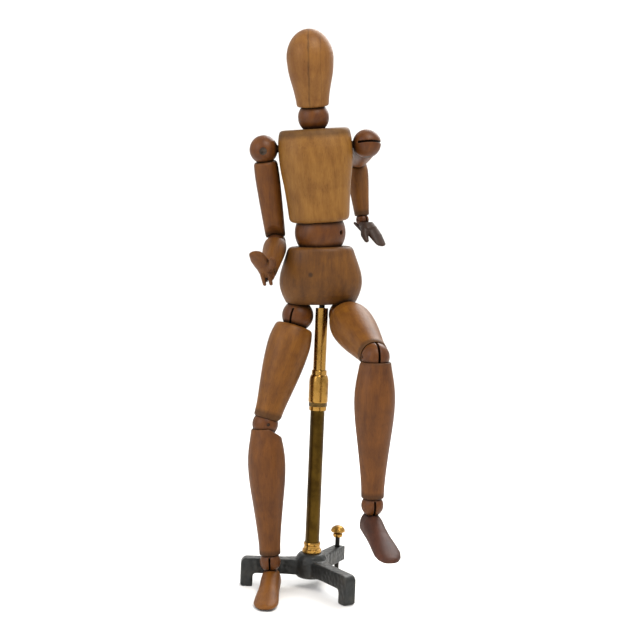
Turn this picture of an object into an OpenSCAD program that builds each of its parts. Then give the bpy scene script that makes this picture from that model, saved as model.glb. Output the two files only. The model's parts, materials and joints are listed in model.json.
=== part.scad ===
// Artist's lay figure: turned wooden limbs joined by slotted balls, hung on a telescoping brass
// column that stands on a cast-iron tripod with one levelling screw.
// Millimetres, +Z up. The figure faces -Y, and its own right side is -X.

/* [Torso and head] */
// Height of the pelvis
pelvis_h = 60.2; // [58:0.2:62]
// Distance from the waist ball to the neck ball
torso_l = 118; // [116:0.5:120]
// Distance from the neck ball to the crown
head_l = 88; // [84:0.5:90]
// Distance from the body's middle to a shoulder ball
shoulder_x = 53; // [52.8:0.1:53.6]
// Height of the shoulder balls above the waist ball
shoulder_z = 88.4; // [86:0.1:91]
// Distance from the body's middle to a hip ball
hip_x = 24.5; // [24:0.1:25]
// Outward lean of each hip socket, in degrees
hip_splay = 12; // [10:0.5:13]

/* [Limbs] */
// Distance from shoulder ball to elbow ball
upper_arm_l = 97.3; // [92:0.1:102]
// Distance from elbow ball to wrist ball
forearm_l = 66; // [64:0.5:70]
// Distance from hip ball to knee ball
thigh_l = 118.2; // [114:0.1:119]
// Distance from knee ball to ankle ball
shin_l = 143.3; // [140:0.1:144]

/* [Balls] */
// Radius of the waist ball
waist_r = 26.5; // [26:0.1:27]
// Radius of the neck ball
neck_r = 16; // [15.5:0.1:16.5]
// Radius of a shoulder ball
shoulder_r = 14.6; // [14.2:0.1:14.8]
// Radius of an elbow ball
elbow_r = 9.8; // [9.5:0.1:10]
// Radius of a wrist ball
wrist_r = 7.2; // [7:0.1:7.4]
// Radius of a hip ball
hip_r = 16.5; // [16:0.1:16.6]
// Radius of a knee ball
knee_r = 13.5; // [13.2:0.1:13.6]
// Radius of an ankle ball
ankle_r = 10.8; // [10.5:0.1:11]
// Gap between a ball and its cups
cup_gap = 0.3; // [0.25:0.05:0.4]
// Gap between a turning shank or pin and its hole
pin_gap = 0.06; // [0.04:0.01:0.1]

/* [Stand] */
// Column axis, from the middle of the whole object's footprint
column_x = -0.5; // [-4:0.5:4]
// Column axis, from the middle of the whole object's footprint
column_y = 39.5; // [36:0.5:44]
// Distance from the column axis to the middle of a foot
leg_reach = 68; // [66:0.5:70]
// Height of the pelvis's underside above the floor
hang_z = 300.6; // [300:0.2:304]
// Outer radius of the lower tube
lower_tube_r = 7.5; // [7.3:0.1:7.6]
// Outer radius of the upper tube
upper_tube_r = 6.6; // [6.4:0.1:6.7]
// Radius of the steel rod in the pelvis
rod_r = 3; // [2.8:0.1:3.2]

/* [Pose] */
// Pelvis, lean to its right
pelvis_lean = 3; // [2:0.5:4]
// Pelvis, tip forward
pelvis_tip = 3.5; // [2:0.5:5]
// Waist, turn of the ball, bend of the torso, turn of the torso
waist_pose = [-34, 4.8, 34]; // [-40:1:40]
// Neck, turn of the ball, nod of the head, turn of the head
neck_pose = [0, 6.5, 0]; // [-20:0.5:20]
// Shoulder swing back, right and left
shoulder_swing = [5.4, 77.6]; // [-30:0.1:75]
// Arm lift away from the body, right and left
arm_lift = [-3.8, -5.4]; // [-6:0.1:20]
// Turn of the elbow ball, right and left
elbow_turn = [-8.5, 3.2]; // [-20:0.1:20]
// Bend of the elbow, right and left
elbow_bend = [72.4, 88]; // [0:0.1:106]
// Turn of the wrist ball, right and left
wrist_turn = [181.5, -144.7]; // [-190:1:190]
// Bend of the wrist, right and left
wrist_bend = [-73.5, -40.7]; // [-80:1:20]
// Outward turn of the hip ball, right and left
hip_turn = [24.8, 10.6]; // [0:0.1:30]
// Forward swing of the thigh, right and left
hip_swing = [12.8, 73.6]; // [0:0.1:75]
// Inward roll of the thigh, right and left
thigh_roll = [0, 0]; // [-20:1:20]
// Outward turn of the knee ball, right and left
knee_turn = [49.7, 14.4]; // [0:0.1:60]
// Bend of the knee, right and left
knee_bend = [19.5, 74.3]; // [0:0.1:76]
// Inward turn of the ankle ball, right and left
ankle_turn = [70.5, 1.2]; // [-20:1:90]
// Downward bend of the foot, right and left
ankle_bend = [4, 8.8]; // [-20:1:30]

/* [Hidden] */
$fn = 64;
RIGHT = 0;
LEFT = 1;

// Distances from each ball's centre to the flat end above it and the flat end below it
waist_ends = [12, 14.5];
neck_ends = [11, 11.6];
elbow_ends = [4, 2.5];
wrist_ends = [4.5, 4.2];
hip_ends = [12, 11.5];
knee_end = 4.5;
ankle_ends = [7, 7.5];
pelvis_shift = -1.2;
out_sign = [-1, 1];
waist_z = pelvis_h + waist_ends[1];
knee_cut = 32;
elbow_cuts = [55, 33];
wrist_cut = 45;
plug_r = 3.7;
plug_l = 2.4;
max_swing = 30;

// Irons of each ball: [pin radius, eye radius, blade thickness, blade width, shank radius, shank
// length, spigot radius, spigot length, slot width]
waist_iron = [2.4, 6, 2.4, 8, 4.5, 24, 6, 14, 3.2];
neck_iron = [1.8, 4.6, 1.8, 6, 3.4, 20, 4, 18, 2.4];
shoulder_iron = [1.6, 3.8, 1.3, 5.2, 2.9, 18, 3.6, 16, 2];
elbow_iron = [1.2, 2.8, 1.2, 4, 2.3, 12, 2.6, 12, 1.8];
wrist_iron = [0.9, 2.1, 1, 3, 1.8, 6, 2, 9, 1.6];
hip_iron = [1.8, 4.2, 1.4, 5.6, 3.1, 20, 4, 18, 2.1];
knee_iron = [1.6, 3.8, 1.3, 5, 2.8, 16, 3.4, 14, 2];
ankle_iron = [1.3, 3, 1.2, 4.2, 2.4, 8, 2.8, 12, 1.8];

// Outline keys of the turned limbs: distance below the upper ball's centre, radius
upper_arm_keys = [[12, 12.2], [26, 12.8], [50, 12.2], [74, 11.2], [93.3, 10.3]];
forearm_keys = [[2.5, 10.6], [11, 12.1], [22, 11.8], [42, 9.8], [61.5, 8]];
thigh_keys = [[11.5, 19.4], [26, 22.2], [40, 22.3], [58, 20.8], [80, 17.8], [100, 15], [113.7, 14.2]];
shin_keys = [[4.5, 14.8], [14, 16.4], [28, 18.8], [42, 19.7], [60, 18.7], [82, 16], [105, 13.2],
    [124, 11.4], [136.3, 11]];

// Outline keys of the carved pieces: height, half width, half depth, shift back
pelvis_keys = [[0, 35.6, 17, 0], [7, 39.3, 24, 0.5], [14, 42, 27.5, 1], [22, 43.4, 29.5, 1],
    [32, 42.4, 30, 0.5], [42, 39.4, 29.8, 0], [52, 36, 29, 0], [pelvis_h, 33.6, 28, 0]];
torso_keys = [[12, 31.1, 29.2, 0], [18, 31.6, 29.2, 0], [32, 32.8, 29, -0.3], [42, 33.8, 29.4, -0.6],
    [52, 35, 30.2, -1], [62, 36.6, 30.8, -1.3], [72, 37.7, 31.2, -1.5], [88, 38.3, 30, -1],
    [99, 37.4, 27.6, -0.3], [torso_l - neck_ends[1], 35.6, 25, 0]];
head_keys = [[11, 16.4, 16.4, 0], [20, 17.3, 18, 0], [32, 19.7, 21.6, -0.4], [45, 22.6, 25, -0.8],
    [59, 23.9, 26.4, -0.6]];
// Sections of the foot: place along the foot, half width, underside, top, shift outward
foot_keys = [[12.4, 4, -24, -15, 0], [10.8, 7.6, -28, -11, 0], [5, 10.2, -29, -7.5, 0],
    [-8, 10.4, -29, -7.5, 0], [-19, 10.4, -28.6, -11.5, 0.2], [-30, 11, -28.6, -15, 0.6],
    [-44, 12.2, -28.8, -18, 1], [-55, 12.6, -29, -20, 1], [-63, 11, -28.8, -21.4, 0.6],
    [-69, 7.6, -28.2, -22.6, 0.2], [-71.6, 4, -27.2, -23.6, 0]];

// Heights on the stand
rod_depth = 25;
leg_bottom_z = 14;
leg_top_z = 30;
leg_w = 13;
hub_r = 15;
hub_top_z = 36.8;
collar_top_z = 48;
tube_foot_z = 16;
lower_tube_top_z = 190;
ring_z = [188.5, 192.7, 197];
sleeve_top_z = 230.8;
upper_tube_z = [80, 296.2];
leg_angles = [63, 183, -57];
screw_reach = 62;
screw_r = 2.6;
screw_bead_z = 40;
screw_head_z = 46;
screw_head_r = 8;
screw_top_z = 53.5;
toe_h = 4;

// Value of a smooth curve through the keys' column c, at v along column 0
function span(keys, v, i = 0) = i >= len(keys) - 2 || v <= keys[i + 1][0] ? i : span(keys, v, i + 1);
function slope(keys, i, c) =
    let (a = max(i - 1, 0), b = min(i + 1, len(keys) - 1))
    (keys[b][c] - keys[a][c]) / (keys[b][0] - keys[a][0]);
function key_value(keys, v, c) =
    let (
        i = span(keys, v),
        h = keys[i + 1][0] - keys[i][0],
        t = (v - keys[i][0]) / h,
        a = keys[i][c],
        b = keys[i + 1][c],
        p = slope(keys, i, c) * h,
        q = slope(keys, i + 1, c) * h
    )
    a + t * (p + t * (3 * (b - a) - 2 * p - q + t * (2 * (a - b) + p + q)));

// How much a quarter-round edge of radius c takes off at distance d from the end
function edge(d, c) = d >= c ? 0 : c - sqrt(c * c - (c - d) * (c - d));

// Places along a length, closer together at both rounded ends
function stations(a, b, c, steps) = concat(
    [for (t = [0, 0.12, 0.4]) a + c * t],
    [for (i = [0 : steps]) a + c + (b - a - 2 * c) * i / steps],
    [for (t = [0.4, 0.12, 0]) b - c * t]
);

// One ring of a carved piece: an oval with slightly squared sides
function oval(z, half_x, half_y, shift_y, sides, power) = [
    for (i = [0 : sides - 1])
        let (a = 360 * i / sides)
        [
            half_x * sign(cos(a)) * pow(abs(cos(a)), 2 / power),
            shift_y + half_y * sign(sin(a)) * pow(abs(sin(a)), 2 / power),
            z
        ]
];

// A closed solid through rings of equal length, first ring lowest
module loft(rings) {
    sides = len(rings[0]);
    last = len(rings) - 1;
    points = [for (r = rings) each r];
    walls = [
        for (j = [0 : last - 1], i = [0 : sides - 1])
            let (a = j * sides + i, b = j * sides + (i + 1) % sides)
            each [[a, a + sides, b + sides], [a, b + sides, b]]
    ];
    ends = [
        [for (i = [0 : sides - 1]) i],
        [for (i = [sides - 1 : -1 : 0]) last * sides + i]
    ];
    polyhedron(points, concat(walls, ends), convexity = 4);
}

// A turned limb that hangs down from the origin, with rounded end edges
module turned(keys, c) {
    places = stations(keys[0][0], keys[len(keys) - 1][0], c, 14);
    first = keys[0][0];
    last = keys[len(keys) - 1][0];
    outline = concat(
        [[0, -first]],
        [for (d = places) [key_value(keys, d, 1) - edge(min(d - first, last - d), c), -d]],
        [[0, -last]]
    );
    rotate_extrude() polygon(outline);
}

// A slotted ball: spigot up, slot open downward in the YZ plane, pin hole along X.
// The slot is sawn right across and reaches the given share of the radius past the pin.
module slotted_ball(r, iron, reach, pin_fit) {
    slot_w = iron[8];
    difference() {
        spigot_ball(r, iron);
        translate([-slot_w / 2, -r - 1, -r - 1]) cube([slot_w, 2 * r + 2, (1 + reach) * r + 1]);
        rotate([0, 90, 0]) cylinder(r = iron[0] + pin_fit, h = 3 * r, center = true);
    }
}

// A ball whose slot is a fan under its cup, wide enough for the hook to swing by max_swing
module fan_ball(r, iron) {
    side = iron[3] / 2 + 0.4;
    apex = side / sin(max_swing);
    difference() {
        spigot_ball(r, iron);
        rotate([0, 90, 0]) cylinder(r = iron[1] + 0.6, h = iron[8], center = true);
        rotate([90, 0, 90]) linear_extrude(height = iron[8], center = true)
            polygon([[0, apex], [-2 * r * tan(max_swing), apex - 2 * r],
                [2 * r * tan(max_swing), apex - 2 * r]]);
        rotate([0, 90, 0]) cylinder(r = iron[0], h = 3 * r, center = true);
    }
}

module spigot_ball(r, iron) {
    sphere(r);
    cylinder(r = iron[6], h = r + iron[7]);
}

// The pin that is driven through a ball, along X
module ball_pin(r, iron) {
    rotate([0, 90, 0]) cylinder(r = iron[0], h = 2 * r - 3, center = true);
}

// The flat hook on a pin: eye at the origin, blade and round shank going down
module hook(r, iron) {
    difference() {
        blade(r, iron);
        rotate([0, 90, 0]) cylinder(r = iron[0] + pin_gap, h = 20, center = true);
    }
}

// The same hook with its own cross pin, as the small joints have it
module tee_iron(r, iron) {
    blade(r, iron);
    rotate([0, 90, 0]) cylinder(r = iron[0], h = 2 * r - 3, center = true);
}

module blade(r, iron) {
    rotate([0, 90, 0]) cylinder(r = iron[1], h = iron[2], center = true);
    translate([-iron[2] / 2, -iron[3] / 2, -r - 2.5]) cube([iron[2], iron[3], r + 2.5]);
    translate([0, 0, -r - 2 - iron[5]]) cylinder(r = iron[4], h = iron[5]);
}

// What a ball and its spigot need cut out of the piece above it
module socket_above(r, iron, pole = 90) {
    rotate([0, pole, 0]) sphere(r + cup_gap);
    cylinder(r = iron[6] + pin_gap, h = r + iron[7] + 1);
}

// What a ball and its hook need cut out of the piece below it
module socket_below(r, iron, fit) {
    rotate([0, 90, 0]) sphere(r + cup_gap);
    translate([0, 0, -r - 3 - iron[5]]) cylinder(r = iron[4] + fit, h = r + 3 + iron[5]);
}

// A slanting cut across an end, so that a joint can fold towards +Y. up turns it to cut upward.
module fold_cut(angle) {
    rotate([angle, 0, 0]) translate([-40, -0.01, -60]) cube([80, 60, 60]);
}

// ---- the stand ----

module at_column() {
    translate([column_x, column_y, 0]) children();
}

// One leg: a bar that tapers outward, with its end turned down to the floor
module leg(foot_r) {
    r = 6;
    corner = [for (a = [90 : -15 : 0]) [foot_r + leg_w / 2 - r + r * cos(a), leg_top_z - r + r * sin(a)]];
    toe = [for (a = [0 : -15 : -90]) [foot_r + leg_w / 2 - 3 + 3 * cos(a), 3 + 3 * sin(a)]];
    inner = [for (a = [0 : 15 : 90]) [foot_r - leg_w / 2 - 3 + 3 * cos(a), leg_bottom_z - 3 + 3 * sin(a)]];
    outline = concat([[0, leg_top_z]], corner, toe, [[foot_r - leg_w / 2, 0]], inner, [[0, leg_bottom_z]]);
    intersection() {
        rotate([90, 0, 0]) linear_extrude(height = 40, center = true) polygon(outline);
        leg_plan(foot_r + leg_w / 2);
    }
}

// Plan of a leg: wide at the hub and narrow at the foot
module leg_plan(reach) {
    linear_extrude(height = 60)
        polygon([[0, -11], [14, -9], [30, -leg_w / 2], [reach, -leg_w / 2],
            [reach, leg_w / 2], [30, leg_w / 2], [14, 9], [0, 11]]);
}

// The third leg stays level, and its end carries the levelling screw
module screw_leg() {
    intersection() {
        translate([0, -20, leg_bottom_z]) cube([screw_reach + 7, 40, leg_top_z - leg_bottom_z]);
        leg_plan(screw_reach + 7);
    }
}

module tripod() color("#1b1c1c") at_column() difference() {
    union() {
        rotate_extrude() polygon(concat(
            [[0, 11], [hub_r, 11], [hub_r + 2, 14], [hub_r + 2, 27]],
            [for (a = [0 : 15 : 90]) [10.5 + (hub_r - 8.5) * cos(a), 27 + (hub_top_z - 27) * sin(a)]],
            [[0, hub_top_z]]
        ));
        rotate(leg_angles[0]) screw_leg();
        rotate(leg_angles[1]) leg(leg_reach);
        rotate(leg_angles[2]) leg(leg_reach);
    }
    translate([0, 0, tube_foot_z]) cylinder(r = lower_tube_r, h = 40);
    rotate(leg_angles[0]) translate([screw_reach, 0, 0]) cylinder(r = screw_r + pin_gap, h = 60);
}

module base_collar() color("#c99a3c") at_column() difference() {
    rotate_extrude() polygon(concat(
        [[0, hub_top_z], [9.9, hub_top_z], [10.2, 38]],
        [for (a = [0 : 15 : 90]) [9 + 1.2 * cos(a), 39.6 + 1.2 * sin(a)]],
        [for (a = [0 : 15 : 90]) [8.4 + (1 - sin(a)) * 0.9, 41 + 3.6 * (1 - cos(a))]],
        [[8.9, 45.2], [9, 46.6], [8.4, collar_top_z], [0, collar_top_z]]
    ));
    translate([0, 0, 30]) cylinder(r = lower_tube_r, h = 30);
}

module lower_tube() color("#8a7440") at_column() difference() {
    translate([0, 0, tube_foot_z]) cylinder(r = lower_tube_r, h = lower_tube_top_z - tube_foot_z);
    translate([0, 0, tube_foot_z - 1]) cylinder(r = upper_tube_r + 0.1, h = 200);
}

// Split collet: its flange shows as the polished ring, and its four fingers grip the upper tube
module collet() color("#cfa24a") at_column() difference() {
    union() {
        translate([0, 0, ring_z[0]]) cylinder(r = 9.2, h = ring_z[1] - ring_z[0]);
        translate([0, 0, ring_z[1]]) cylinder(r = lower_tube_r, h = 22);
    }
    translate([0, 0, ring_z[0] - 1]) cylinder(r = lower_tube_r, h = lower_tube_top_z - ring_z[0] + 1);
    translate([0, 0, ring_z[0]]) cylinder(r = upper_tube_r + 0.1, h = 40);
    for (a = [0, 90])
        rotate(a) translate([-0.5, -20, ring_z[2] + 2]) cube([1, 40, 40]);
}

module knurled_ring() color("#4a3a22") at_column() difference() {
    translate([0, 0, ring_z[1] + 0.3]) cylinder(r = 9.7, h = ring_z[2] - ring_z[1] - 0.3);
    translate([0, 0, ring_z[1]]) cylinder(r = lower_tube_r + 0.3, h = 10);
}

module clamp_sleeve() color("#d4a94f") at_column() difference() {
    rotate_extrude() polygon(concat(
        [[0, ring_z[2]], [9.9, ring_z[2]], [10.2, ring_z[2] + 0.8], [10.2, 217]],
        [for (a = [0 : 15 : 90]) [7.9 + 2.3 * cos(a), 217 + 9 * sin(a)]],
        [[7.9, sleeve_top_z - 0.6], [7.5, sleeve_top_z], [0, sleeve_top_z]]
    ));
    translate([0, 0, 190]) cylinder(r = lower_tube_r + 0.3, h = 26);
    translate([0, 0, 190]) cylinder(r = upper_tube_r + 0.3, h = 60);
}

module upper_tube() color("#d8b060") at_column() difference() {
    translate([0, 0, upper_tube_z[0]]) cylinder(r = upper_tube_r, h = upper_tube_z[1] - upper_tube_z[0]);
    translate([0, 0, upper_tube_z[0] - 1]) cylinder(r = upper_tube_r - 1, h = 150);
    translate([0, 0, upper_tube_z[0]]) cylinder(r = rod_r, h = 300);
}

module figure_rod() color("#26241f") at_column()
    translate([0, 0, upper_tube_z[1] - 60]) cylinder(r = rod_r, h = 60 + hang_z - upper_tube_z[1] + rod_depth);

module at_screw() {
    at_column() rotate(leg_angles[0]) translate([screw_reach, 0, 0]) children();
}

module levelling_toe() color("#2a2a28") at_screw()
    rotate_extrude() polygon([[0, 0], [5, 0], [5, 2], [3.6, toe_h], [0, toe_h]]);

module levelling_screw() color("#2a2a28") at_screw()
    translate([0, 0, toe_h]) cylinder(r = screw_r, h = screw_head_z + 3 - toe_h);

module levelling_knob() color("#c79a3e") at_screw() difference() {
    rotate_extrude() polygon(concat(
        [[0, screw_bead_z]],
        [for (a = [-90 : 15 : 90]) [3 + 2.4 * cos(a), screw_bead_z + 2.6 + 2.6 * sin(a)]],
        [[2.9, screw_head_z - 0.4], [screw_head_r - 1, screw_head_z]],
        [for (a = [0 : 15 : 90]) [screw_head_r * cos(a), screw_head_z + 1 + (screw_top_z - screw_head_z - 1) * sin(a)]]
    ));
    translate([0, 0, 30]) cylinder(r = screw_r, h = screw_head_z + 3 - 30);
}

// ---- where each piece of the figure stands ----

module at_pelvis() {
    at_column() translate([pelvis_shift, 0, hang_z])
        rotate([0, -pelvis_lean, 0]) rotate([pelvis_tip, 0, 0]) children();
}

module at_waist_ball() {
    at_pelvis() translate([0, 0, waist_z]) rotate(waist_pose[0]) children();
}

module at_waist_link() {
    at_waist_ball() rotate([waist_pose[1], 0, 0]) children();
}

module at_torso() {
    at_waist_link() rotate(waist_pose[2]) children();
}

module at_neck_ball() {
    at_torso() translate([0, 0, torso_l]) rotate(neck_pose[0]) children();
}

module at_neck_link() {
    at_neck_ball() rotate([neck_pose[1], 0, 0]) children();
}

module at_head() {
    at_neck_link() rotate(neck_pose[2]) children();
}

// Shoulder ball: X outward is mirrored between the sides, so out is -1 on the right
module at_shoulder(side) {
    out = out_sign[side];
    at_torso() translate([out * shoulder_x, 0, shoulder_z]) rotate([shoulder_swing[side], 0, 0]) children();
}

module at_upper_arm(side) {
    at_shoulder(side) rotate([0, -out_sign[side] * arm_lift[side], 0]) children();
}

module at_elbow(side) {
    at_upper_arm(side) translate([0, 0, -upper_arm_l]) rotate(elbow_turn[side]) children();
}

module at_forearm(side) {
    at_elbow(side) rotate([-elbow_bend[side], 0, 0]) children();
}

module at_wrist(side) {
    at_forearm(side) translate([0, 0, -forearm_l]) rotate(wrist_turn[side]) children();
}

module at_hand(side) {
    at_wrist(side) rotate([-wrist_bend[side], 0, 0]) children();
}

module at_hip(side) {
    out = out_sign[side];
    at_pelvis() translate([out * hip_x, 0, -hip_ends[0]])
        rotate([0, -out * hip_splay, 0]) rotate(out * hip_turn[side]) children();
}

module at_hip_link(side) {
    at_hip(side) rotate([-hip_swing[side], 0, 0]) children();
}

module at_thigh(side) {
    at_hip_link(side) rotate(out_sign[side] * thigh_roll[side]) children();
}

module at_knee(side) {
    at_thigh(side) translate([0, 0, -thigh_l]) rotate(out_sign[side] * knee_turn[side]) children();
}

module at_shin(side) {
    at_knee(side) rotate([knee_bend[side], 0, 0]) children();
}

module at_ankle(side) {
    at_shin(side) translate([0, 0, -shin_l]) rotate(-out_sign[side] * ankle_turn[side]) children();
}

module at_foot(side) {
    at_ankle(side) rotate([ankle_bend[side], 0, 0]) children();
}

// Turns a ball or a hook so that its spigot points down and its slot up
module upside_down() {
    rotate([180, 0, 0]) children();
}

// Turns a shoulder ball so that its spigot points into the torso and its slot outward
module shoulder_out(side) {
    rotate([0, -out_sign[side] * 90, 0]) rotate(90) children();
}

// Mirrors a piece of the left side from the right one
module handed(side) {
    mirror([side == LEFT ? 1 : 0, 0, 0]) children();
}

// ---- the figure ----

WOOD = "#a87c46";
DARK_WOOD = "#6b4527";
IRON = "#4d4a45";

module pelvis() color(WOOD) difference() {
    at_pelvis() loft([for (z = stations(0, pelvis_h, 4, 9))
        let (e = edge(pelvis_h - z, 4) + edge(z, 2))
        oval(z, key_value(pelvis_keys, z, 1) - e, key_value(pelvis_keys, z, 2) - e,
            key_value(pelvis_keys, z, 3), 40, 2.2)]);
    at_pelvis() translate([0, 0, waist_z]) upside_down() socket_above(waist_r, waist_iron);
    for (side = [RIGHT, LEFT]) at_hip(side) socket_above(hip_r, hip_iron);
    at_column() translate([0, 0, hang_z - 30]) cylinder(r = rod_r + pin_gap, h = 30 + rod_depth + 0.5);
}

module waist_ball() color(DARK_WOOD) at_waist_ball() upside_down()
    fan_ball(waist_r, waist_iron);

module waist_pin() color(IRON) at_waist_ball()
    rotate([0, 90, 0]) cylinder(r = waist_iron[0], h = 30, center = true);

module waist_hook() color(IRON) at_waist_link() upside_down() hook(waist_r, waist_iron);

module torso() color(WOOD) difference() {
    at_torso() loft([for (z = stations(waist_ends[0], torso_l - neck_ends[1], 4, 12))
        let (e = edge(torso_l - neck_ends[1] - z, 3) + edge(z - waist_ends[0], 4))
        oval(z, key_value(torso_keys, z, 1) - e, key_value(torso_keys, z, 2) - e,
            key_value(torso_keys, z, 3), 44, 2.3)]);
    at_torso() upside_down() socket_below(waist_r, waist_iron, pin_gap);
    at_torso() translate([0, 0, torso_l]) upside_down() socket_above(neck_r, neck_iron);
    for (side = [RIGHT, LEFT])
        at_shoulder(side) shoulder_out(side) socket_above(shoulder_r, shoulder_iron);
}

module neck_ball() color(DARK_WOOD) at_neck_ball() upside_down()
    fan_ball(neck_r, neck_iron);

module neck_pin() color(IRON) at_neck_ball()
    rotate([0, 90, 0]) cylinder(r = neck_iron[0], h = 20, center = true);

module neck_hook() color(IRON) at_neck_link() upside_down() hook(neck_r, neck_iron);

// The crown is half of an ellipsoid on top of the keyed part
module head() color(WOOD) {
    crown_z = head_keys[4][0];
    crown_h = head_l - crown_z;
    difference() {
        at_head() loft(concat(
            [for (z = [for (t = [0, 0.3, 1, 2]) 11 + t, for (i = [1 : 9]) 13 + (crown_z - 13) * i / 9])
                let (e = edge(z - 11, 2))
                oval(z, key_value(head_keys, z, 1) - e, key_value(head_keys, z, 2) - e,
                    key_value(head_keys, z, 3), 40, 2)],
            [for (a = [12 : 11 : 89])
                oval(crown_z + crown_h * sin(a), head_keys[4][1] * cos(a), head_keys[4][2] * cos(a),
                    head_keys[4][3], 40, 2)]
        ));
        at_head() upside_down() socket_below(neck_r, neck_iron, pin_gap);
    }
}

module shoulder_ball(side) color(DARK_WOOD) difference() {
    at_shoulder(side) shoulder_out(side) slotted_ball(shoulder_r, shoulder_iron, 0.65, 0);
    at_shoulder(side) rotate([90, 0, 0]) plugs(plug_l + 1);
}

// The two dark plugs that close the ends of a shoulder pin's hole
module plugs(depth) {
    for (end = [-1, 1])
        translate([0, 0, end * (shoulder_r - 0.8 - plug_l + depth / 2)])
            cylinder(r = plug_r, h = depth, center = true);
}

module shoulder_pin(side) color(IRON) at_shoulder(side) {
    rotate([90, 0, 0]) cylinder(r = shoulder_iron[0], h = 2 * shoulder_r - 4, center = true);
    rotate([90, 0, 0]) plugs(plug_l);
}

module shoulder_hook(side) color(IRON) at_upper_arm(side) rotate(90) hook(shoulder_r, shoulder_iron);

module upper_arm(side) color(WOOD) at_upper_arm(side) difference() {
    turned(upper_arm_keys, 3);
    socket_below(shoulder_r, shoulder_iron, 0);
    translate([0, 0, -upper_arm_l]) socket_above(elbow_r, elbow_iron);
    translate([0, 0, -upper_arm_l + elbow_ends[0]]) rotate(180 + elbow_turn[side]) fold_cut(elbow_cuts[0]);
}

module elbow_ball(side) color(DARK_WOOD) at_elbow(side) slotted_ball(elbow_r, elbow_iron, 0.6, pin_gap);

module elbow_iron(side) color(IRON) at_forearm(side) tee_iron(elbow_r, elbow_iron);

module forearm(side) color(WOOD) at_forearm(side) difference() {
    turned(forearm_keys, 1.2);
    socket_below(elbow_r, elbow_iron, 0);
    translate([0, 0, -elbow_ends[1]]) mirror([0, 0, 1]) rotate(180) fold_cut(elbow_cuts[1]);
    translate([0, 0, -forearm_l]) socket_above(wrist_r, wrist_iron);
}

module wrist_ball(side) color(DARK_WOOD) at_wrist(side) slotted_ball(wrist_r, wrist_iron, 0.5, pin_gap);

module wrist_iron(side) color(IRON) at_hand(side) tee_iron(wrist_r, wrist_iron);

// A carved lump: half sizes at a place
module lump(place, half) {
    translate(place) scale(half) sphere(1, $fn = 18);
}

// The right hand hangs with its palm to -Y: heel, the four fingers as one group, and the thumb.
// Two small ears on the palm side of the heel reach around the ball.
module hand_block() {
    hull() {
        translate([0, 0, -6]) cylinder(r = 7.4, h = 1.8, $fn = 32);
        lump([0.5, -0.3, -16], [9.4, 6, 5]);
    }
    hull() {
        lump([1.8, -0.3, -15], [8.6, 5.8, 5]);
        lump([3.6, -1.8, -25], [8.8, 4.2, 4]);
    }
    hull() {
        lump([3.6, -1.8, -25], [8.8, 4.2, 4]);
        lump([4.4, -3.6, -34.6], [7.4, 2, 5.2]);
    }
    hull() {
        lump([-4.4, -1, -12], [5, 5, 4.8]);
        lump([-8.8, -3.8, -20], [4.4, 4, 4.2]);
    }
    hull() {
        lump([-8.8, -3.8, -20], [4.4, 4, 4.2]);
        lump([-10.6, -5, -27.6], [2.9, 2.4, 3]);
    }
    for (x = [-3.3, 3.3])
        hull() {
            lump([x, -6.4, -8], [2.4, 2.8, 3]);
            lump([x, -8.6, 3.6], [1.9, 1.6, 2.4]);
        }
}

module hand(side) color(DARK_WOOD) at_hand(side) difference() {
    handed(side) hand_block();
    socket_below(wrist_r, wrist_iron, 0);
    translate([0, 0, -wrist_ends[1]]) mirror([0, 0, 1]) fold_cut(wrist_cut);
}

module hip_ball(side) color(DARK_WOOD) at_hip(side) slotted_ball(hip_r, hip_iron, 0.5, 0);

module hip_pin(side) color(IRON) at_hip(side) ball_pin(hip_r, hip_iron);

module hip_hook(side) color(IRON) at_hip_link(side) hook(hip_r, hip_iron);

module thigh(side) color(WOOD) at_thigh(side) difference() {
    turned(thigh_keys, 3.4);
    socket_below(hip_r, hip_iron, pin_gap);
    translate([0, 0, -thigh_l]) socket_above(knee_r, knee_iron, side == LEFT ? 0 : 90);
    translate([0, 0, -thigh_l + knee_end]) rotate(out_sign[side] * min(knee_turn[side], 15)) fold_cut(knee_cut);
}

module knee_ball(side) color(DARK_WOOD) at_knee(side) slotted_ball(knee_r, knee_iron, 0.5, pin_gap);

module knee_iron(side) color(IRON) at_shin(side) tee_iron(knee_r, knee_iron);

module shin(side) color(WOOD) at_shin(side) difference() {
    turned(shin_keys, 1.2);
    socket_below(knee_r, knee_iron, 0);
    translate([0, 0, -knee_end]) mirror([0, 0, 1]) fold_cut(knee_cut);
    translate([0, 0, -shin_l]) socket_above(ankle_r, ankle_iron);
}

module ankle_ball(side) color(DARK_WOOD) at_ankle(side) slotted_ball(ankle_r, ankle_iron, 0.5, pin_gap);

module ankle_iron(side) color(IRON) at_foot(side) tee_iron(ankle_r, ankle_iron);

// One cross-section of the foot: y along the foot, an oval flattened underneath
function foot_ring(k, sides) = [
    for (i = [0 : sides - 1])
        let (
            a = 360 * i / sides,
            mid = k[2] * 0.62 + k[3] * 0.38,
            rise = sin(a) > 0 ? k[3] - mid : mid - k[2],
            power = sin(a) > 0 ? 2.1 : 3.2
        )
        [
            -k[4] + k[1] * sign(cos(a)) * pow(abs(cos(a)), 2 / power),
            k[0],
            mid + rise * sign(sin(a)) * pow(abs(sin(a)), 2 / power)
        ]
];

module foot(side) color(WOOD) at_foot(side) difference() {
    handed(side) loft([for (k = foot_keys) foot_ring(k, 32)]);
    socket_below(ankle_r, ankle_iron, 0);
}

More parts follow.
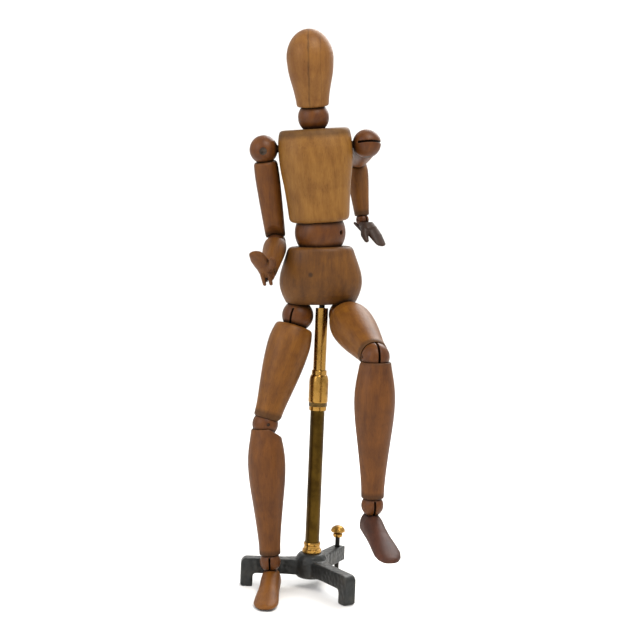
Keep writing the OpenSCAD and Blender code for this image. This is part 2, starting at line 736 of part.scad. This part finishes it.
tripod();
base_collar();
lower_tube();
collet();
knurled_ring();
clamp_sleeve();
upper_tube();
figure_rod();
levelling_toe();
levelling_screw();
levelling_knob();
pelvis();
waist_ball();
waist_pin();
waist_hook();
torso();
neck_ball();
neck_pin();
neck_hook();
head();
shoulder_ball(RIGHT);  // right_shoulder_ball
shoulder_pin(RIGHT);  // right_shoulder_pin
shoulder_hook(RIGHT);  // right_shoulder_hook
upper_arm(RIGHT);  // right_upper_arm
elbow_ball(RIGHT);  // right_elbow_ball
elbow_iron(RIGHT);  // right_elbow_iron
forearm(RIGHT);  // right_forearm
wrist_ball(RIGHT);  // right_wrist_ball
wrist_iron(RIGHT);  // right_wrist_iron
hand(RIGHT);  // right_hand
hip_ball(RIGHT);  // right_hip_ball
hip_pin(RIGHT);  // right_hip_pin
hip_hook(RIGHT);  // right_hip_hook
thigh(RIGHT);  // right_thigh
knee_ball(RIGHT);  // right_knee_ball
knee_iron(RIGHT);  // right_knee_iron
shin(RIGHT);  // right_shin
ankle_ball(RIGHT);  // right_ankle_ball
ankle_iron(RIGHT);  // right_ankle_iron
foot(RIGHT);  // right_foot
shoulder_ball(LEFT);  // left_shoulder_ball
shoulder_pin(LEFT);  // left_shoulder_pin
shoulder_hook(LEFT);  // left_shoulder_hook
upper_arm(LEFT);  // left_upper_arm
elbow_ball(LEFT);  // left_elbow_ball
elbow_iron(LEFT);  // left_elbow_iron
forearm(LEFT);  // left_forearm
wrist_ball(LEFT);  // left_wrist_ball
wrist_iron(LEFT);  // left_wrist_iron
hand(LEFT);  // left_hand
hip_ball(LEFT);  // left_hip_ball
hip_pin(LEFT);  // left_hip_pin
hip_hook(LEFT);  // left_hip_hook
thigh(LEFT);  // left_thigh
knee_ball(LEFT);  // left_knee_ball
knee_iron(LEFT);  // left_knee_iron
shin(LEFT);  // left_shin
ankle_ball(LEFT);  // left_ankle_ball
ankle_iron(LEFT);  // left_ankle_iron
foot(LEFT);  // left_foot
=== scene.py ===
import json
import math

import bpy
import numpy as np
from mathutils import Matrix, Vector

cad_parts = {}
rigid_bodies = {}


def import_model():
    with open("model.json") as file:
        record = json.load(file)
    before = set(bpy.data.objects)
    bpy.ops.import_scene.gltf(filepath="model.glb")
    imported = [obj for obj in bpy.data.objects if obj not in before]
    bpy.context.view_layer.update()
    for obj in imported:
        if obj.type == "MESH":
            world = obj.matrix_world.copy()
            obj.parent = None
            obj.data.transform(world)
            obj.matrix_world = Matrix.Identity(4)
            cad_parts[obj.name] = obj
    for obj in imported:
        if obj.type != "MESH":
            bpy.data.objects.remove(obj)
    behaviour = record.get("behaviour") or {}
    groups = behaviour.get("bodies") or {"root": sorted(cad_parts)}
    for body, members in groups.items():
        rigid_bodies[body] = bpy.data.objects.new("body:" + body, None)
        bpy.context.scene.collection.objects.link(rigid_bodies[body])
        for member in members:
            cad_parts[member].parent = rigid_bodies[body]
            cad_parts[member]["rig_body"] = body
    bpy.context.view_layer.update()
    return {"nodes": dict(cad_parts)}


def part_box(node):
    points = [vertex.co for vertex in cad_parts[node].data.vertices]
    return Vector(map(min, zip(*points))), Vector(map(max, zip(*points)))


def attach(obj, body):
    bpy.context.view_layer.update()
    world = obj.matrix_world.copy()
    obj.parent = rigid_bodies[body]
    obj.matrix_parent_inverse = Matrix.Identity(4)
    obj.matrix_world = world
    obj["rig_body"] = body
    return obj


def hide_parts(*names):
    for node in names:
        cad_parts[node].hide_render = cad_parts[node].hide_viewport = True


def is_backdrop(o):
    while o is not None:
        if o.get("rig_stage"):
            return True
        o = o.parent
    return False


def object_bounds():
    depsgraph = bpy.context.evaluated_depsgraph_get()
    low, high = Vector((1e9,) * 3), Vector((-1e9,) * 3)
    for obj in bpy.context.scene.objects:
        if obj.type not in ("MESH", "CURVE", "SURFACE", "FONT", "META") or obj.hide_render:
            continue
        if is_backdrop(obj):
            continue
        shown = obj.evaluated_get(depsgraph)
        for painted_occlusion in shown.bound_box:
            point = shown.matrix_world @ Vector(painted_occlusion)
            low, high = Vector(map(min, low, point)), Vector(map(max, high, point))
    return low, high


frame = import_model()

scene = bpy.context.scene


# ---------------------------------------------------------------------------------------------
# Torso: a solid block of close-grained hardwood, carved and turned, oiled once and handled for
# decades. Its edges are rubbed round, dirt has settled where it meets the balls, and painted shade
# darkens its creases and the cups round the balls.
# ---------------------------------------------------------------------------------------------
def linear(code):
    """An sRGB hex colour as linear red, green, blue and alpha."""
    levels = [int(code[i:i + 2], 16) / 255 for i in (0, 2, 4)]
    return [v / 12.92 if v <= 0.04045 else ((v + 0.055) / 1.055) ** 2.4 for v in levels] + [1.0]


def add(tree, kind, inputs=None, **settings):
    """Adds one node with its properties; an input is a value or the socket that feeds it."""
    node = tree.nodes.new(kind)
    for name, value in settings.items():
        setattr(node, name, value)
    for key, value in (inputs or {}).items():
        if isinstance(value, bpy.types.NodeSocket):
            tree.links.new(value, node.inputs[key])
        else:
            node.inputs[key].default_value = value
    return node


def maths(tree, operation, a, b=0.0, c=0.0, clamp=False):
    """One Math node's output."""
    node = add(tree, "ShaderNodeMath", {0: a, 1: b, 2: c}, operation=operation, use_clamp=clamp)
    return node.outputs[0]


def mix(tree, share, a, b, kind="MIX"):
    """Two colours mixed by a share."""
    node = add(tree, "ShaderNodeMix", {0: share, 6: a, 7: b}, data_type="RGBA", blend_type=kind)
    return node.outputs[2]


def ramp(tree, value, low, high, to_low=0.0, to_high=1.0):
    """A value eased from one range to another."""
    node = add(
        tree, "ShaderNodeMapRange",
        {"Value": value, "From Min": low, "From Max": high, "To Min": to_low, "To Max": to_high},
        interpolation_type="SMOOTHSTEP",
    )
    return node.outputs["Result"]


def surface(name):
    """An empty material: its tree and its Principled shader."""
    material = bpy.data.materials.new(name)
    material.use_nodes = True
    tree = material.node_tree
    return material, tree, tree.nodes["Principled BSDF"]


def feed(tree, shader, **sockets):
    """Links or sets the shader's inputs; an underscore stands for a space."""
    for name, value in sockets.items():
        socket = shader.inputs[name.replace("_", " ")]
        if isinstance(value, bpy.types.NodeSocket):
            tree.links.new(value, socket)
        else:
            socket.default_value = value


def centre(node):
    """The middle of a CAD node's box."""
    low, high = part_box(node)
    return (low + high) / 2


def along(start, end):
    """The frame at start whose z axis runs to end and whose x axis stays near world x."""
    z = (end - start).normalized()
    y = z.cross(Vector((1, 0, 0))).normalized()
    axes = Matrix((y.cross(z), y, z)).transposed().to_4x4()
    axes.translation = start
    return axes


def wood(name, place, reach, pale, deep, grime_and_shade="251606", worn_share=0.5, gloss=0.42, knots=(),
         streaks=(), figure=1.0):
    """Old oiled hardwood. The fibres run along place's z axis, with 0.8 mm streaks about 15 mm
    long, growth bands about 7 mm apart and a blotchy brown patina about 25 mm across. reach is the
    local height of both ends, where a band of dirt fades out over about 5 mm. knots are (point,
    radius), and streaks are dark lines up the piece at (local x, half width, depth of tone)."""
    material, tree, shader = surface(name)
    spot = add(tree, "ShaderNodeTexCoord").outputs["Object"]
    inverse = place.inverted()
    local = add(tree, "ShaderNodeMapping", {
        "Vector": spot, "Location": inverse.translation, "Rotation": inverse.to_euler(),
    }).outputs[0]
    drawn = add(tree, "ShaderNodeMapping", {"Vector": local, "Scale": (1, 1, 0.05)}).outputs[0]
    swirl = add(tree, "ShaderNodeMapping", {"Vector": local, "Scale": (1, 1, 0.22)}).outputs[0]
    fibres = add(tree, "ShaderNodeTexNoise", {
        "Vector": drawn, "Scale": 1300.0, "Detail": 4.0, "Roughness": 0.62,
    }).outputs["Fac"]
    pores = add(tree, "ShaderNodeTexNoise", {
        "Vector": drawn, "Scale": 2600.0, "Detail": 1.0, "Roughness": 0.5,
    }).outputs["Fac"]
    bands = add(tree, "ShaderNodeTexNoise", {
        "Vector": swirl, "Scale": 150.0, "Detail": 3.0, "Roughness": 0.55, "Distortion": 0.5,
    }).outputs["Fac"]
    rings = add(tree, "ShaderNodeTexWave", {
        "Vector": swirl, "Scale": 42.0, "Distortion": 5.0, "Detail": 2.0, "Detail Scale": 1.1,
    }, wave_type="BANDS", bands_direction="DIAGONAL").outputs["Fac"]
    patina = add(tree, "ShaderNodeTexNoise", {
        "Vector": local, "Scale": 38.0, "Detail": 4.0, "Roughness": 0.6,
    }).outputs["Fac"]
    across, _, height = add(tree, "ShaderNodeSeparateXYZ", {0: local}).outputs

    tone = maths(tree, "MULTIPLY_ADD", ramp(tree, fibres, 0.3, 0.72), 0.26 * figure, 0.0)
    tone = maths(tree, "MULTIPLY_ADD", ramp(tree, bands, 0.3, 0.7), 0.3 * figure, tone)
    tone = maths(tree, "MULTIPLY_ADD", rings, 0.16 * figure, tone)
    tone = maths(tree, "MULTIPLY_ADD", ramp(tree, patina, 0.34, 0.7), 0.36, tone, clamp=True)
    colour = mix(tree, tone, linear(pale), linear(deep))
    dashes = ramp(tree, pores, 0.64, 0.76, 0.0, 0.42)
    colour = mix(tree, dashes, colour, linear(grime_and_shade))

    edge = maths(tree, "MULTIPLY_ADD", patina, 0.006, 0.0015)
    low_end = maths(tree, "SUBTRACT", height, min(reach))
    high_end = maths(tree, "SUBTRACT", max(reach), height)
    nearest = maths(tree, "MINIMUM", low_end, high_end)
    rim = maths(tree, "SUBTRACT", 1.0, maths(tree, "DIVIDE", nearest, edge), clamp=True)
    # Painted shade: ambient occlusion within 5 mm darkens creases, cups and gaps between parts
    # towards the dark grime colour. It is joined in one mask with the real dirt band at the ends,
    # which also roughens both.
    painted_occlusion = add(tree, "ShaderNodeAmbientOcclusion", {"Distance": 0.005}, samples=8).outputs["AO"]
    crease_shade = ramp(tree, painted_occlusion, 0.35, 0.95, 0.9, 0.0)
    end_dirt_and_crease_shade = maths(tree, "MAXIMUM", maths(tree, "MULTIPLY", rim, worn_share), crease_shade)
    colour = mix(tree, end_dirt_and_crease_shade, colour, linear(grime_and_shade))
    for point, radius in knots:
        gap = add(tree, "ShaderNodeVectorMath", {0: spot, 1: point}, operation="DISTANCE")
        wavy = maths(tree, "MULTIPLY_ADD", bands, radius, gap.outputs["Value"])
        dark = ramp(tree, wavy, radius * 0.9, radius * 1.7, 0.8, 0.0)
        colour = mix(tree, dark, colour, linear(grime_and_shade))

    for x, half_width, depth in streaks:
        drift = maths(tree, "MULTIPLY_ADD", bands, half_width * 2.5, -x - half_width * 1.2)
        off = maths(tree, "ABSOLUTE", maths(tree, "ADD", across, drift))
        share = maths(tree, "MULTIPLY", ramp(tree, off, 0.0, half_width, depth, 0.0), patina)
        colour = mix(tree, share, colour, linear(grime_and_shade))

    rough = maths(tree, "MULTIPLY_ADD", fibres, 0.14, gloss)
    rough = maths(tree, "MULTIPLY_ADD", end_dirt_and_crease_shade, 0.15, rough)
    grain = maths(tree, "MULTIPLY_ADD", pores, 0.5, fibres)
    raised = add(tree, "ShaderNodeBump", {"Height": grain, "Strength": 0.3, "Distance": 0.00012})
    dents = add(tree, "ShaderNodeTexNoise", {"Vector": local, "Scale": 120.0, "Detail": 2.0})
    raised = add(tree, "ShaderNodeBump", {
        "Height": dents.outputs["Fac"], "Strength": 0.2, "Distance": 0.0005,
        "Normal": raised.outputs[0],
    })
    feed(tree, shader, Base_Color=colour, Roughness=rough, Normal=raised.outputs[0],
         Specular_IOR_Level=0.2)
    return material


def rubbed(node, material, voxel=0.0006, passes=10):
    """A solid piece with its edges rubbed round by use: the CAD shape cut into small cubes voxel
    wide, whose skin is then evened out, each point moving half-way to its neighbours' middle."""
    source = frame["nodes"][node]
    piece = bpy.data.objects.new(node + "_worn", source.data.copy())
    scene.collection.objects.link(piece)
    cubes = piece.modifiers.new("cubes", "REMESH")
    cubes.mode = "VOXEL"
    cubes.voxel_size = voxel
    even = piece.modifiers.new("even", "SMOOTH")
    even.factor = 0.5
    even.iterations = passes
    shown = piece.evaluated_get(bpy.context.evaluated_depsgraph_get())
    mesh = bpy.data.meshes.new_from_object(shown)
    piece.modifiers.clear()
    piece.data = mesh
    mesh.polygons.foreach_set("use_smooth", np.ones(len(mesh.polygons), bool))
    mesh.materials.clear()
    mesh.materials.append(material)
    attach(piece, source["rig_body"])
    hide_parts(node)
    return piece


def coat(nodes, material):
    """CAD pieces shown as they are, with their finish."""
    for node in nodes:
        piece = frame["nodes"][node]
        piece.data.materials.clear()
        piece.data.materials.append(material)


torso_axis = along(centre("waist_ball"), centre("neck_ball"))
torso_reach = ((torso_axis.inverted() @ centre("waist_ball")).z + 0.012,
               (torso_axis.inverted() @ centre("neck_ball")).z - 0.008)
rubbed("torso", wood("torso_wood", torso_axis, torso_reach, pale="7f5824", deep="5b370d",
                     worn_share=0.5), voxel=0.0008, passes=16)

# ---------------------------------------------------------------------------------------------
# Pelvis: one turned and carved block with a small knot at its front.
# ---------------------------------------------------------------------------------------------
low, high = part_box("pelvis")
middle = centre("pelvis")
pelvis_axis = along(Vector((middle.x, middle.y, low.z)), Vector((middle.x, middle.y, high.z)))
pelvis_knot = (Vector(((low.x + high.x) / 2 - 0.0105, low.y + 0.002, low.z + 0.032)), 0.0030)
rubbed("pelvis", wood("pelvis_wood", pelvis_axis, (0.0, high.z - low.z), pale="653f12",
                      deep="3f230a", worn_share=0.5, knots=[pelvis_knot]),
       voxel=0.0008, passes=16)

# ---------------------------------------------------------------------------------------------
# Head: an egg turned from one blank, its face left blank, with a dark streak up the middle.
# ---------------------------------------------------------------------------------------------
low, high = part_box("head")
crown = Vector(((low.x + high.x) / 2, (low.y + high.y) / 2, high.z))
head_axis = along(centre("neck_ball"), crown)
head_reach = (0.009, (crown - centre("neck_ball")).length + 0.02)
head_knot = (Vector((crown.x - 0.0075, low.y + 0.004, low.z + 0.052)), 0.0022)
head_finish = wood("head_wood", head_axis, head_reach, pale="7d5423", deep="5c3610",
                   worn_share=0.5, knots=[head_knot],
                   streaks=[(-0.003, 0.0016, 0.9), (0.009, 0.0009, 0.5)])
rubbed("head", head_finish, voxel=0.0007, passes=16)

# ---------------------------------------------------------------------------------------------
# Limbs: turned one by one. The grain of each follows its own length from joint to joint.
# ---------------------------------------------------------------------------------------------
for side in ("right", "left"):
    stops = {
        "upper_arm": ("shoulder_ball", "elbow_ball", "63390c", "3d1e0a"),
        "forearm": ("elbow_ball", "wrist_ball", "6a4214", "42230a"),
        "thigh": ("hip_ball", "knee_ball", "714612", "48270a"),
        "shin": ("knee_ball", "ankle_ball", "643a10", "3f210a"),
    }
    for limb, (top, bottom, pale, deep) in stops.items():
        start, end = centre(f"{side}_{top}"), centre(f"{side}_{bottom}")
        axis = along(start, end)
        length = (end - start).length
        finish = wood(f"{side}_{limb}_wood", axis, (0.004, length - 0.004), pale=pale, deep=deep,
                      worn_share=0.6)
        rubbed(f"{side}_{limb}", finish, voxel=0.00065, passes=10)

# ---------------------------------------------------------------------------------------------
# Balls: darker red-brown wood, polished by the sockets that turn on them.
# ---------------------------------------------------------------------------------------------
for name in sorted(frame["nodes"]):
    if name.endswith("_ball"):
        start = centre(name)
        axis = along(start, start + Vector((0.2, -0.1, 1.0)))
        finish = wood(f"{name}_wood", axis, (-0.05, 0.05), pale="5e350c", deep="3a1b0a",
                      grime_and_shade="1f1006", gloss=0.34, figure=0.8)
        rubbed(name, finish, voxel=0.0005, passes=4)

# ---------------------------------------------------------------------------------------------
# Hands: carved from a darker wood, four fingers as one group beside the thumb.
# ---------------------------------------------------------------------------------------------
for side, pale, deep in (("right", "653b0c", "3d1f0a"), ("left", "412e23", "1d130d")):
    start, end = centre(f"{side}_wrist_ball"), centre(f"{side}_hand")
    finish = wood(f"{side}_hand_wood", along(start, end), (-0.02, 0.06), pale=pale, deep=deep,
                  grime_and_shade="1c0f09", gloss=0.4)
    rubbed(f"{side}_hand", finish, voxel=0.0004, passes=10)

# ---------------------------------------------------------------------------------------------
# Feet: carved blocks, the left one stained darker and redder.
# ---------------------------------------------------------------------------------------------
for side, pale, deep in (("right", "764813", "4f2b0a"), ("left", "472719", "28130a")):
    low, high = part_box(f"{side}_foot")
    middle = centre(f"{side}_foot")
    toe = Vector((middle.x, low.y, low.z + 0.006))
    finish = wood(f"{side}_foot_wood", along(middle, toe), (-0.1, 0.1), pale=pale, deep=deep,
                  grime_and_shade="1f1009")
    rubbed(f"{side}_foot", finish, voxel=0.0006, passes=14)


# ---------------------------------------------------------------------------------------------
# Irons: small forged pins, hooks and blades in the joints, dull and dark with age.
# ---------------------------------------------------------------------------------------------
def metal(name, bright, dark, gloss, stain=0.5, size=90.0, bump=0.15, depth=0.0002):
    """Bare metal whose colour drifts from bright to tarnished dark in clouds 1/size metres across,
    with finer specks on top, rougher where it is tarnished; corners and gaps get painted shade in
    the same dark colour and are rougher too."""
    material, tree, shader = surface(name)
    spot = add(tree, "ShaderNodeTexCoord").outputs["Object"]
    clouds = add(tree, "ShaderNodeTexNoise", {
        "Vector": spot, "Scale": size, "Detail": 5.0, "Roughness": 0.65,
    }).outputs["Fac"]
    specks = add(tree, "ShaderNodeTexNoise", {
        "Vector": spot, "Scale": size * 12, "Detail": 2.0,
    }).outputs["Fac"]
    share = ramp(tree, clouds, 0.62 - 0.4 * stain, 0.85 - 0.3 * stain)
    # Painted shade: ambient occlusion within 3 mm darkens corners and gaps to the tarnished colour
    # and roughens them, joined with the tarnish clouds in one share.
    painted_occlusion = add(tree, "ShaderNodeAmbientOcclusion", {"Distance": 0.003}, samples=8).outputs["AO"]
    share = maths(tree, "MAXIMUM", share, ramp(tree, painted_occlusion, 0.3, 0.9, 0.9, 0.0))
    colour = mix(tree, share, linear(bright), linear(dark))
    rough = maths(tree, "MULTIPLY_ADD", share, 0.18, gloss)
    rough = maths(tree, "MULTIPLY_ADD", specks, 0.1, rough)
    raised = add(tree, "ShaderNodeBump", {"Height": specks, "Strength": bump, "Distance": depth})
    feed(tree, shader, Base_Color=colour, Roughness=rough, Metallic=1.0, Normal=raised.outputs[0])
    return material


irons = [n for n in sorted(frame["nodes"]) if n.endswith(("_iron", "_pin", "_hook"))]
coat(irons, metal("joint_iron", "4a4038", "1d1713", 0.42))

# ---------------------------------------------------------------------------------------------
# Figure rod and levelling screw: blackened steel. The rod hangs the figure from the column, and
# the screw is threaded through the end of the tripod's level leg.
# ---------------------------------------------------------------------------------------------
black_steel = metal("black_steel", "2c2a28", "100f0e", 0.32)
coat(["figure_rod", "levelling_screw"], black_steel)

# ---------------------------------------------------------------------------------------------
# Column: drawn brass tube. The upper one and the sleeve are polished by hands that lift and
# clamp them; the lower one has gone olive brown.
# ---------------------------------------------------------------------------------------------
polished = metal("polished_brass", "a37b3c", "6d4d1e", 0.2, stain=0.4, size=45.0, bump=0.05)
tarnished = metal("tarnished_brass", "4f3b15", "37270c", 0.32, stain=0.6, size=32.0, bump=0.15)
coat(["upper_tube", "clamp_sleeve", "collet", "base_collar", "levelling_knob"], polished)
coat(["lower_tube"], tarnished)


def knurl(name, middle, ridges, rise):
    """Tarnished brass pressed with a diamond pattern: two families of ridges wind round the
    upright axis through middle in opposite senses, rise metres of height for one ridge."""
    material, tree, shader = surface(name)
    spot = add(tree, "ShaderNodeTexCoord").outputs["Object"]
    apart = add(tree, "ShaderNodeVectorMath", {0: spot, 1: middle}, operation="SUBTRACT")
    x, y, z = add(tree, "ShaderNodeSeparateXYZ", {0: apart.outputs[0]}).outputs
    turn = maths(tree, "MULTIPLY", maths(tree, "ARCTAN2", y, x), ridges)
    lift = maths(tree, "MULTIPLY", z, 2 * math.pi / rise)
    first = maths(tree, "SINE", maths(tree, "ADD", turn, lift))
    second = maths(tree, "SINE", maths(tree, "SUBTRACT", turn, lift))
    diamonds = maths(tree, "MULTIPLY_ADD", maths(tree, "MINIMUM", first, second), 0.5, 0.5)
    colour = mix(tree, diamonds, linear("2e2417"), linear("9a7a42"))
    raised = add(tree, "ShaderNodeBump", {"Height": diamonds, "Strength": 0.9, "Distance": 0.0004})
    feed(tree, shader, Base_Color=colour, Roughness=0.36, Metallic=1.0, Normal=raised.outputs[0])
    return material


coat(["knurled_ring"], knurl("knurled_brass", centre("knurled_ring"), 36.0, 0.0024))


# ---------------------------------------------------------------------------------------------
# Tripod: cast iron, hammered on top and painted black, its edges softened by the mould.
# ---------------------------------------------------------------------------------------------
def hammered(name):
    """Black painted iron with shallow round dimples about 5 mm across and a fine sandy skin."""
    material, tree, shader = surface(name)
    spot = add(tree, "ShaderNodeTexCoord").outputs["Object"]
    dimples = add(tree, "ShaderNodeTexVoronoi", {
        "Vector": spot, "Scale": 210.0, "Smoothness": 0.6,
    }, feature="SMOOTH_F1").outputs["Distance"]
    sand = add(tree, "ShaderNodeTexNoise", {"Vector": spot, "Scale": 1100.0, "Detail": 3.0})
    wear = add(tree, "ShaderNodeTexNoise", {"Vector": spot, "Scale": 55.0, "Detail": 5.0})
    share = ramp(tree, wear.outputs["Fac"], 0.45, 0.75)
    colour = mix(tree, share, linear("1b1d1c"), linear("33312c"))
    raised = add(tree, "ShaderNodeBump", {
        "Height": sand.outputs["Fac"], "Strength": 0.3, "Distance": 0.0002,
    })
    raised = add(tree, "ShaderNodeBump", {
        "Height": dimples, "Strength": 0.6, "Distance": 0.0011, "Normal": raised.outputs[0],
    })
    rough = maths(tree, "MULTIPLY_ADD", sand.outputs["Fac"], 0.25, 0.28)
    feed(tree, shader, Base_Color=colour, Roughness=rough, Metallic=0.35,
         Normal=raised.outputs[0])
    return material


cast_iron = hammered("black_cast_iron")
rubbed("tripod", cast_iron, voxel=0.0009, passes=8)
coat(["levelling_toe"], cast_iron)

# ---------------------------------------------------------------------------------------------
# Setting: a pale floor that curves up behind the object, lit softly from above and both sides.
# ---------------------------------------------------------------------------------------------
bend_start, bend_radius, wall_top, half_width = 1.9, 0.6, 3.2, 4.0
arc = np.linspace(0, math.pi / 2, 24)
run = np.r_[[-3.0, 0.0], bend_start + bend_radius * np.sin(arc), [bend_start + bend_radius]]
climb = np.r_[[0.0, 0.0], bend_radius - bend_radius * np.cos(arc), [wall_top]]
points = np.stack([
    np.repeat([-half_width, half_width], len(run)), np.tile(run, 2), np.tile(climb, 2),
], 1)
steps = np.arange(len(run) - 1)
faces = np.stack([steps, steps + len(run), steps + len(run) + 1, steps + 1], 1)
paper = bpy.data.meshes.new("paper")
paper.from_pydata(points.tolist(), [], faces.tolist())
paper.polygons.foreach_set("use_smooth", np.ones(len(paper.polygons), bool))
floor = bpy.data.objects.new("floor", paper)
scene.collection.objects.link(floor)
material, tree, shader = surface("white_paper")
feed(tree, shader, Base_Color=linear("f4f3f1"), Roughness=0.75)
paper.materials.append(material)
floor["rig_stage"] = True


def lamp(name, where, target, size, watts, tint="ffffff"):
    """A square soft box at a point, turned to face another."""
    light = bpy.data.lights.new(name, "AREA")
    light.size = size
    light.energy = watts
    light.color = linear(tint)[:3]
    thing = bpy.data.objects.new(name, light)
    scene.collection.objects.link(thing)
    thing.location = where
    thing.rotation_euler = (Vector(target) - Vector(where)).to_track_quat("-Z", "Y").to_euler()
    thing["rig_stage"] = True


lamp("key_light", (0.5, -0.9, 1.7), (0, 0, 0.35), 0.9, 27.0, "fffaf2")
lamp("fill_light", (-1.3, -0.9, 0.9), (0, 0, 0.3), 1.1, 12.0, "f4f7ff")
lamp("back_light", (0.5, 1.2, 1.4), (0, 0, 0.35), 1.0, 20.0)
world = bpy.data.worlds.new("studio")
scene.world = world
world.use_nodes = True
world.node_tree.nodes["Background"].inputs["Color"].default_value = (1, 1, 1, 1)
world.node_tree.nodes["Background"].inputs["Strength"].default_value = 1.0

# ---------------------------------------------------------------------------------------------
# Camera: a little above the middle of the figure, almost level, with a slight roll.
# ---------------------------------------------------------------------------------------------
camera = bpy.data.objects.new("camera", bpy.data.cameras.new("camera"))
scene.collection.objects.link(camera)
camera.data.sensor_width = 36.0
camera.data.lens = 61.875
camera.data.shift_x = -0.0022
column = centre("lower_tube")
distance, eye_height, pitch, roll = 1.153, 0.344, 87, 2.4
camera.matrix_world = (
    Matrix.Translation((column.x, column.y - distance, eye_height))
    @ Matrix.Rotation(math.radians(pitch), 4, "X")
    @ Matrix.Rotation(math.radians(roll), 4, "Z")
)
scene.camera = camera
scene.view_settings.view_transform = "Standard"

bpy.context.view_layer.update()
low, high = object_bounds()
